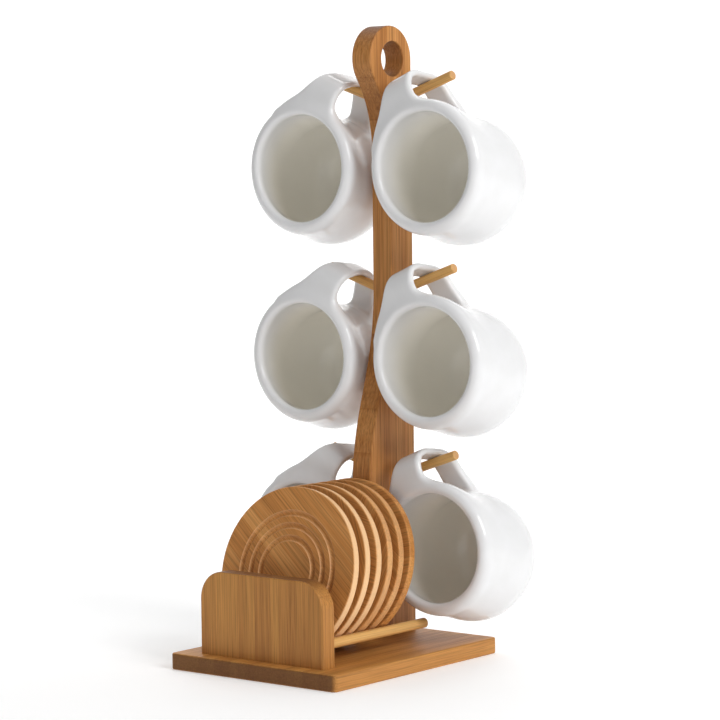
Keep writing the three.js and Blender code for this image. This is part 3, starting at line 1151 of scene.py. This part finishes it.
# ---------------------------------------------------------------- mugs


def smooth_min(a: np.ndarray, b: np.ndarray, reach: float) -> np.ndarray:
    """Joins two signed distances with a fillet.

    Args:
        a: Distances to one shape.
        b: Distances to the other.
        reach: Size of the fillet.

    Returns:
        Distances to both together.
    """
    share = np.clip(0.5 + 0.5 * (b - a) / reach, 0, 1)
    return b + (a - b) * share - reach * share * (1 - share)


def smooth_max(a: np.ndarray, b: np.ndarray, reach: float) -> np.ndarray:
    """Keeps what two signed distances share, with a rounded edge of about this reach."""
    return -smooth_min(-a, -b, reach)


def smooth_step(value: np.ndarray, low: float, high: float) -> np.ndarray:
    """Eases from 0 at low to 1 at high."""
    share = np.clip((value - low) / (high - low), 0, 1)
    return share * share * (3 - 2 * share)


def eased_curve(stations: Sequence[float], values: Sequence[float], at: np.ndarray) -> np.ndarray:
    """Smooth curve through a few values, with slopes taken from their neighbours.

    Args:
        stations: Rising places of the values.
        values: Value at each station.
        at: Places asked for, held to the ends outside the stations.

    Returns:
        The curve at those places.
    """
    s, v = np.array(stations, float), np.array(values, float)
    slopes = np.gradient(v, s)
    at = np.clip(at, s[0], s[-1])
    cell = np.clip(np.searchsorted(s, at) - 1, 0, len(s) - 2)
    width = s[cell + 1] - s[cell]
    t = (at - s[cell]) / width
    start = (1 + 2 * t) * (1 - t) ** 2 * v[cell] + t * (1 - t) ** 2 * width * slopes[cell]
    return start + t * t * (3 - 2 * t) * v[cell + 1] + t * t * (t - 1) * width * slopes[cell + 1]


@dataclass
class MugShape:
    """A teardrop mug: a round body whose belly hangs below its mouth, and a strap handle that grows out of
    the lip. Its mouth is at depth 0 facing -Y, and its handle points up."""

    length: float = 68.0
    belly_depth: float = 35.0
    belly_radius: float = 39.9
    belly_drop: float = 9.2
    wall: float = 4.2
    lip_radius: float = 41.1
    shoulder_radius: float = 39.7
    mouth_radius: float = 33.2
    lip_outer_round: float = 6.5
    lip_inner_round: float = 4.0
    foot_round: float = 5.0
    recess_radius: float = 18.0
    recess_depth: float = 1.1
    fillet: float = 6.0
    floor_round: float = 9.0  # between the cavity's wall and floor
    recess_round: float = 0.8
    strap_edge: float = 2.6
    strap_low: float = 15.0  # the handle lies above this rise
    strap_side: float = 34.0  # and within this distance from the middle plane
    far: float = 50.0  # distance given to points that are nowhere near the handle
    least_square: float = 60.0  # mm2, keeps radii real past the ends of the belly
    inner_light_edge: float = 0.6  # over which the painted fill light inside fades at the wall
    inner_light_start: float = 2.0  # depth where the painted fill light inside starts
    inner_light_full: float = 26.0  # depth where the painted fill light is full
    # The handle's middle line: depth, rise, half thickness, half width and place across.
    strap: tuple[tuple[float, float, float, float, float], ...] = (
        (3.6, 26.0, 2.9, 25.0, -7.0), (3.5, 36.0, 2.9, 19.0, -6.5), (3.6, 43.0, 2.9, 14.6, -5.0),
        (5.3, 51.2, 2.5, 11.4, -2.6), (9.7, 56.8, 2.1, 9.9, -0.8), (16.0, 58.6, 2.0, 9.0, 0.0),
        (23.0, 58.6, 2.0, 7.4, 0.0), (30.0, 58.1, 2.0, 6.5, 0.0), (36.7, 56.2, 2.2, 6.9, 0.0),
        (41.2, 51.4, 2.5, 7.8, 0.0), (45.0, 42.4, 2.8, 8.2, 0.0), (48.4, 33.8, 3.1, 9.2, 0.0),
        (50.0, 24.6, 3.3, 10.0, 0.0))

    def centre_line(self, depth: np.ndarray) -> np.ndarray:
        """Height of the body's centre at a depth."""
        return -self.belly_drop * smooth_step(depth, 0, self.belly_depth)

    def outer_radius(self, depth: np.ndarray) -> np.ndarray:
        """Works out the body's outside.

        Args:
            depth: Depths from the mouth.

        Returns:
            The body's outer radius at each.
        """
        lip, shoulder = self.lip_radius, self.shoulder_radius
        front = eased_curve((-4, 5, 13, 21, 29, 35),
                            (lip, lip, shoulder + 0.7, shoulder, shoulder, self.belly_radius), depth)
        square = self.belly_radius ** 2 - (depth - self.belly_depth) ** 2
        ball = np.sqrt(np.maximum(square, self.least_square))
        return np.where(depth < self.belly_depth, front, ball)

    def inner_radius(self, depth: np.ndarray) -> np.ndarray:
        """Works out the cavity.

        Args:
            depth: Depths from the mouth.

        Returns:
            The cavity's radius at each.
        """
        most = self.belly_radius - self.wall
        mouth = self.mouth_radius
        front = eased_curve((-4, 3, 10, 19, 28, 35), (mouth, mouth, 34.4, most - 0.4, most, most), depth)
        ball = np.sqrt(np.maximum(most ** 2 - (depth - self.belly_depth) ** 2, self.least_square))
        return np.where(depth < self.belly_depth, front, ball)

    def inside(self, points: np.ndarray) -> np.ndarray:
        """Tells how deep in the cavity each point of its wall lies, which sets the painted fill light inside.

        Args:
            points: Rows of x, depth and rise.

        Returns:
            1 deep inside the mug, 0 at the lip and outside.
        """
        x, depth, rise = points.T
        across = np.hypot(x, rise - self.centre_line(depth))
        shallow = smooth_step(self.inner_radius(depth) + self.wall / 2 - across, 0.0, self.inner_light_edge)
        deep = smooth_step(depth, self.inner_light_start, self.inner_light_full)
        return shallow * deep * (depth < self.length - self.wall / 2)

    def strap_stations(self) -> np.ndarray:
        """Follows the handle's middle line in close steps.

        Returns:
            Rows of depth, rise, half thickness, half width and place across.
        """
        knots = np.array(self.strap)
        run = np.concatenate([[0], np.cumsum(np.hypot(*np.diff(knots[:, :2], axis=0).T))])
        fine = np.linspace(0, run[-1], 90)
        return np.stack([eased_curve(run, knots[:, i], fine) for i in range(5)], axis=1)

    def strap_distance(self, points: np.ndarray) -> np.ndarray:
        """Measures how far points are from the handle.

        Args:
            points: Rows of x, depth and rise.

        Returns:
            Signed distance of each, roughly in millimetres.
        """
        line = self.strap_stations()
        best = np.full(len(points), 1e9)
        thick = np.zeros(len(points))
        width = np.zeros(len(points))
        aside = np.zeros(len(points))
        for here, there in zip(line[:-1], line[1:]):
            step = there[:2] - here[:2]
            t = np.clip((points[:, 1:] - here[:2]) @ step / (step @ step), 0, 1)
            gap = np.hypot(points[:, 1] - here[0] - t * step[0], points[:, 2] - here[1] - t * step[1])
            near = gap < best
            best = np.where(near, gap, best)
            thick = np.where(near, here[2] + t * (there[2] - here[2]), thick)
            width = np.where(near, here[3] + t * (there[3] - here[3]), width)
            aside = np.where(near, here[4] + t * (there[4] - here[4]), aside)
        return smooth_max(best - thick, np.abs(points[:, 0] - aside) - width, self.strap_edge)

    def distance(self, points: np.ndarray) -> np.ndarray:
        """Measures how far points are from the mug.

        Args:
            points: Rows of x, depth and rise.

        Returns:
            Signed distance of each, roughly in millimetres.
        """
        x, depth, rise = points.T
        across = np.hypot(x, rise - self.centre_line(depth))
        strap = np.full(len(points), self.far)
        close = (rise > self.strap_low) & (np.abs(x) < self.strap_side)
        strap[close] = self.strap_distance(points[close])
        shell = smooth_min(across - self.outer_radius(depth), strap, self.fillet)
        shell = smooth_max(shell, depth - self.length, self.foot_round)
        shell = smooth_max(shell, -depth, self.lip_outer_round)
        floor = depth - self.length + self.wall + 1
        cavity = smooth_max(across - self.inner_radius(depth), floor, self.floor_round)
        shell = smooth_max(shell, -cavity, self.lip_inner_round)
        foot = self.length - self.recess_depth - depth
        recess = smooth_max(across - self.recess_radius, foot, self.recess_round)
        return smooth_max(shell, -recess, self.recess_round)


def pull_to_surface(points: np.ndarray, distance: Callable[[np.ndarray], np.ndarray],
                    rounds: int) -> np.ndarray:
    """Moves points onto the surface where a distance is zero.

    Args:
        points: Rows of points near the surface.
        distance: Signed distance of rows of points.
        rounds: How many times they are moved.

    Returns:
        The moved points.
    """
    probe = 0.05
    for _ in range(rounds):
        value = distance(points)
        slope = np.stack([(distance(points + probe * axis) - distance(points - probe * axis)) / (2 * probe)
                          for axis in np.eye(3)], axis=1)
        steep = np.maximum((slope ** 2).sum(1), 0.2)
        step = slope * (value / steep)[:, None]
        points = points - np.clip(step, -0.5, 0.5)
    return points


def surface_net(distance: Callable[[np.ndarray], np.ndarray], low: Sequence[float], high: Sequence[float],
                pitch: float) -> tuple[np.ndarray, np.ndarray]:
    """Meshes the surface where a distance is zero with even four-sided faces.

    Args:
        distance: Signed distance of rows of points.
        low: Lowest corner of the space that is searched.
        high: Highest corner.
        pitch: Size of a face.

    Returns:
        Vertex positions, and the four vertex numbers of each face, facing outwards.
    """
    axes = [np.arange(a, b + pitch, pitch) for a, b in zip(low, high)]
    grid = np.stack(np.meshgrid(*axes, indexing="ij"), axis=-1)
    value = distance(grid.reshape(-1, 3)).reshape(grid.shape[:3])
    inside = value < 0
    cells = tuple(n - 1 for n in value.shape)
    total = np.zeros(cells + (3,))
    count = np.zeros(cells)
    crossings = []
    for axis in range(3):
        first = [slice(None)] * 3
        second = [slice(None)] * 3
        first[axis], second[axis] = slice(None, -1), slice(1, None)
        a, b = value[tuple(first)], value[tuple(second)]
        mask = inside[tuple(first)] != inside[tuple(second)]
        at = np.argwhere(mask)
        share = a[mask] / (a[mask] - b[mask])
        spot = grid[tuple(first)][mask].copy()
        spot[:, axis] += share * pitch
        crossings.append((axis, at, inside[tuple(first)][mask]))
        others = [k for k in range(3) if k != axis]
        for du in (0, 1):
            for dv in (0, 1):
                cell = at.copy()
                cell[:, others[0]] -= du
                cell[:, others[1]] -= dv
                np.add.at(total, tuple(cell.T), spot)
                np.add.at(count, tuple(cell.T), 1)
    used = count > 0
    number = np.full(cells, -1)
    number[used] = np.arange(used.sum())
    points = total[used] / count[used][:, None]
    faces = []
    for axis, at, outward in crossings:
        u, v = (axis + 1) % 3, (axis + 2) % 3
        ring = []
        for du, dv in ((1, 1), (0, 1), (0, 0), (1, 0)):
            cell = at.copy()
            cell[:, u] -= du
            cell[:, v] -= dv
            ring.append(number[tuple(cell.T)])
        quads = np.stack(ring, axis=1)
        quads[~outward] = quads[~outward][:, ::-1]
        faces.append(quads)
    return points, np.concatenate(faces)


def relax(points: np.ndarray, faces: np.ndarray) -> np.ndarray:
    """Moves each point halfway to the middle of its neighbours.

    Args:
        points: Vertex positions.
        faces: Four vertex numbers of each face.

    Returns:
        The moved points.
    """
    total = np.zeros_like(points)
    count = np.zeros(len(points))
    for a, b in ((0, 1), (1, 2), (2, 3), (3, 0)):
        for start, end in ((faces[:, a], faces[:, b]), (faces[:, b], faces[:, a])):
            np.add.at(total, start, points[end])
            np.add.at(count, start, 1)
    return 0.5 * points + 0.5 * total / count[:, None]


@dataclass
class Mugs:
    """Six mugs from one mould, each hung on its peg by the handle."""

    shape: MugShape = field(default_factory=MugShape)
    pitch: float = 1.1  # mm, size of a mesh face
    roll: float = 23.0  # degrees that each mug leans towards the post

    def cast(self) -> tuple[np.ndarray, np.ndarray]:
        """Meshes one mug in its own frame.

        Returns:
            Vertex positions, and the four vertex numbers of each face.
        """
        shape = self.shape
        low = (-shape.lip_radius - 3, -3.0, -shape.belly_radius - shape.belly_drop - 3)
        high = (shape.lip_radius + 3, shape.length + 3, 64.0)
        points, faces = surface_net(shape.distance, low, high, self.pitch)
        points = pull_to_surface(points, shape.distance, 2)
        for _ in range(3):
            points = pull_to_surface(relax(points, faces), shape.distance, 1)
        return pull_to_surface(points, shape.distance, 1), faces

    def build(self, material: bpy.types.Material) -> None:
        """Hangs the six mugs in the boxes of their nodes.

        Args:
            material: Their finish.
        """
        points, faces = self.cast()
        inside = self.shape.inside(points).astype(np.float32)
        for side, sign in SIDES.items():
            turn = np.array(Matrix.Rotation(-sign * math.radians(self.roll), 3, "Y"))
            hung = points @ turn.T
            middle = (hung.min(0) + hung.max(0)) / 2
            for row in ROWS:
                node = f"mug_{row}_{side}"
                placed = hung - middle + NodeBox.of(node).centre
                piece = mesh_object("glazed_" + node, placed.tolist(), faces.tolist())
                piece.data.shade_smooth()
                clay = piece.data.attributes.new("clay", "FLOAT_VECTOR", "POINT")
                clay.data.foreach_set("vector", (points * MM).ravel().astype(np.float32))
                # Mask of the painted fill light inside the cavity.
                inner = piece.data.attributes.new("inside", "FLOAT", "POINT")
                inner.data.foreach_set("value", inside)
                hand_over(piece, node, [node], material)


# ---------------------------------------------------------------- studio


@dataclass
class Studio:
    """White paper sweep, soft lights and the camera."""

    azimuth: float = 38.8224  # degrees from the front towards the right
    pitch: float = 3.9632  # degrees the view looks down
    roll: float = -0.6137  # degrees
    distance: float = 1613.2  # mm from the camera to its target
    target_height: float = 183.7  # mm
    target_aside: float = 16.6  # mm to the view's right of the axis
    lens: float = 133.39  # mm on a 36 mm sensor
    key_watts: float = 20.5
    top_watts: float = 6.0
    backdrop_watts: float = 64.0
    glow_way: tuple[float, float, float] = (0.5, 0.45, 0.55)  # direction of the brighter side
    glow_low: float = 0.22
    glow_high: float = 0.37

    def camera(self) -> None:
        """Puts the camera where the view is taken from."""
        turn, down, roll = (math.radians(a) for a in (self.azimuth, self.pitch, self.roll))
        ahead = Vector((-math.sin(turn) * math.cos(down), math.cos(turn) * math.cos(down), -math.sin(down)))
        right = Vector((math.cos(turn), math.sin(turn), 0))
        up = right.cross(ahead)
        tilted_right = math.cos(roll) * right + math.sin(roll) * up
        tilted_up = math.cos(roll) * up - math.sin(roll) * right
        target = Vector((0, 0, self.target_height)) + self.target_aside * right
        place = (target - ahead * self.distance) * MM
        camera = bpy.data.objects.new("camera", bpy.data.cameras.new("camera"))
        camera.data.lens = self.lens
        camera.data.sensor_width = 36
        columns = Matrix((tilted_right, tilted_up, -ahead)).transposed()
        camera.matrix_world = Matrix.Translation(place) @ columns.to_4x4()
        bpy.context.scene.collection.objects.link(camera)
        bpy.context.scene.camera = camera

    def sweep(self) -> None:
        """Rolls white paper out under the object and up behind it, the way the camera looks."""
        half, front, back, bend, top = 6000.0, -4500.0, 3200.0, 900.0, 5000.0
        line = [(front, 0.0)] + arc((back, bend), bend, -90, 0, 24) + [(back + bend, top)]
        turn = Matrix.Rotation(math.radians(self.azimuth), 3, "Z")
        points = [tuple(turn @ Vector((x, y, z))) for y, z in line for x in (-half, half)]
        faces = [(2 * i, 2 * i + 1, 2 * i + 3, 2 * i + 2) for i in range(len(line) - 1)]
        paper = mesh_object("paper_sweep", points, faces)
        paper.data.shade_smooth()
        paper.data.materials.append(PaperBackdrop().build())

    @staticmethod
    def lamp(name: str, place: Sequence[float], aim: Sequence[float], size: float,
             watts: float) -> None:
        """Hangs a square soft lamp.

        Args:
            name: Name of the lamp.
            place: Where it hangs, in metres.
            aim: What it points at, in metres.
            size: Its width in metres.
            watts: Its power.
        """
        light = bpy.data.lights.new(name, "AREA")
        light.shape = "SQUARE"
        light.size = size
        light.energy = watts
        lamp = bpy.data.objects.new(name, light)
        lamp.location = place
        lamp.rotation_euler = (Vector(aim) - Vector(place)).to_track_quat("-Z", "Y").to_euler()
        bpy.context.scene.collection.objects.link(lamp)

    def light(self) -> None:
        """Sets three lamps and a glow that is brighter to the right, behind and above."""
        world = bpy.data.worlds.new("studio_glow")
        world.use_nodes = True
        tree = world.node_tree
        way = add(tree, "ShaderNodeTexCoord").outputs["Generated"]
        share = add(tree, "ShaderNodeVectorMath", {0: way, 1: self.glow_way},
                    operation="DOT_PRODUCT").outputs["Value"]
        glow = add(tree, "ShaderNodeMapRange", {
            "Value": share, "From Min": -0.7, "From Max": 0.7, "To Min": self.glow_low,
            "To Max": self.glow_high}).outputs[0]
        tree.nodes["Background"].inputs["Color"].default_value = grey(1.0)
        tree.links.new(glow, tree.nodes["Background"].inputs["Strength"])
        bpy.context.scene.world = world
        bpy.context.scene.view_settings.view_transform = "Standard"
        self.lamp("key", (1.7, -0.25, 1.1), (0, 0, 0.18), 0.9, self.key_watts)
        self.lamp("top", (0.0, 0.3, 2.2), (0, 0, 0), 1.6, self.top_watts)
        turn = math.radians(self.azimuth)
        behind = Vector((-math.sin(turn), math.cos(turn), 0))
        place, aim = behind * 1.4 + Vector((0, 0, 2.6)), behind * 3.6 + Vector((0, 0, 0.8))
        self.lamp("backdrop", place, aim, 2.5, self.backdrop_watts)

    def build(self) -> None:
        """Sets up camera, sweep and lights."""
        self.camera()
        self.sweep()
        self.light()


# ---------------------------------------------------------------- assembly


def main() -> None:
    """Builds the studio, the wooden rack, the coasters and the mugs."""
    logging.basicConfig(level=logging.INFO, format="%(name)s %(message)s")
    Studio().build()
    board = Bamboo("laminated_bamboo_board", "#d89b50", "#be8140", "#8e5124", "#573010").build()
    post = Bamboo("laminated_bamboo_post", "#dda05e", "#b5763a", "#7a461b", "#573010").build()
    straw = Bamboo("turned_bamboo_dowel", "#f0c078", "#e2ac64", "#c48b4a", "#c9986a", strip_width=60.0,
                   bundle_spacing=0.7, strength=0.3).build()
    # The coasters' last colour is the pale painted highlight of their rims.
    disc = Bamboo("turned_bamboo_coaster", "#e4a560", "#cd8a48", "#a26230", "#ffd6a4",
                  strip_width=9.0).build()
    turning = Turning()
    screws = WoodScrews(turning)
    BaseBoard(screws).build(board)
    FrontPanel(turning, screws).build(board)
    Post(turning, screws).build(post)
    Dowels(turning).build(straw)
    screws.build()
    Coasters(turning).build(disc)
    Mugs().build(Glaze().build())


if __name__ == "__main__":
    main()
